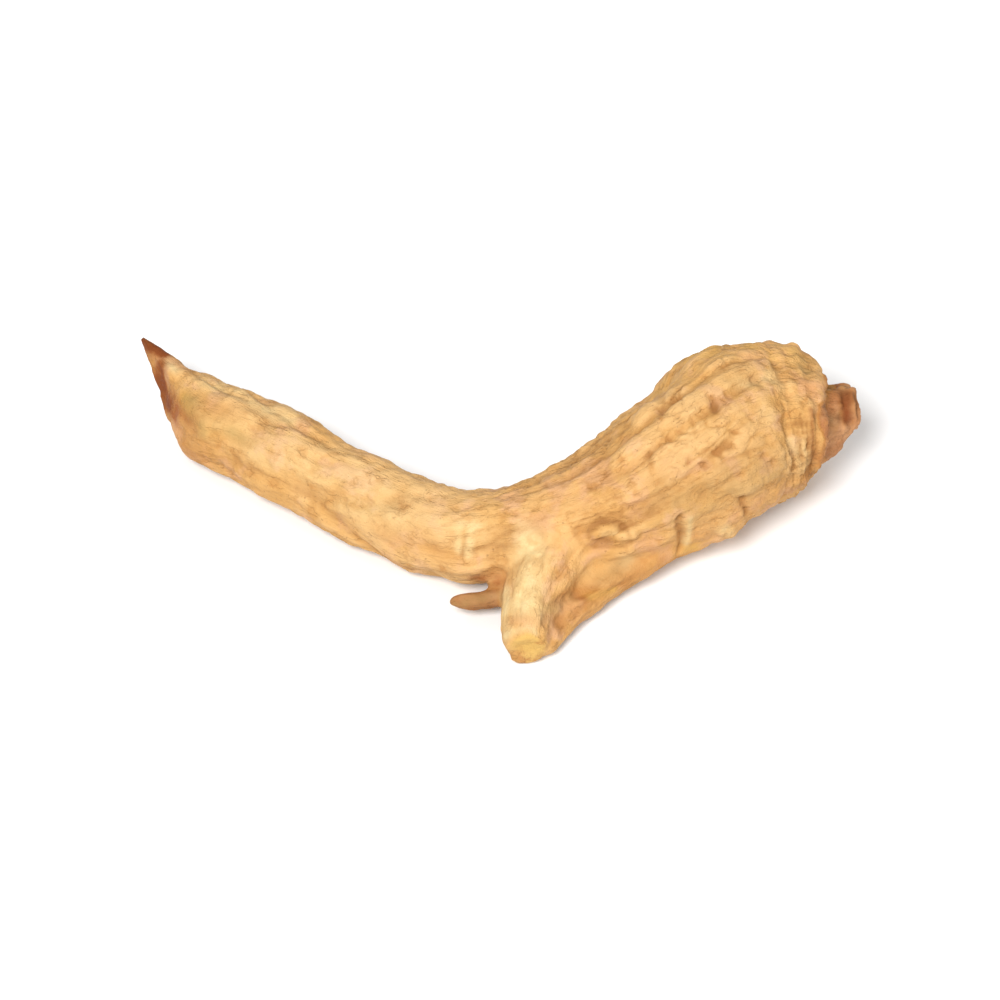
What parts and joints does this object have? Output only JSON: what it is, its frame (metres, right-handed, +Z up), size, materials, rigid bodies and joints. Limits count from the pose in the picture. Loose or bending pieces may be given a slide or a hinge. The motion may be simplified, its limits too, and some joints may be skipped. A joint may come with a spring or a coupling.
{
  "type": "ginseng root",
  "caption": "Dried forked ginseng root lying on its side: a stout ringed body with a brown crown stub, a long curved leg, a short blunt leg and a thin rootlet.",
  "frame": {"origin": "on the surface the root lies on, under the middle of its box", "axes": "+Z up; +X along the lying root from the long leg's tip towards the crown; the short leg points to -Y"},
  "size_m": [0.0637, 0.0354, 0.0156],
  "materials": {
    "root_skin": "dry, wrinkled tan skin"
  },
  "bodies": {
    "root": {"ginseng_root": "root_skin"}
  },
  "joints": []
}
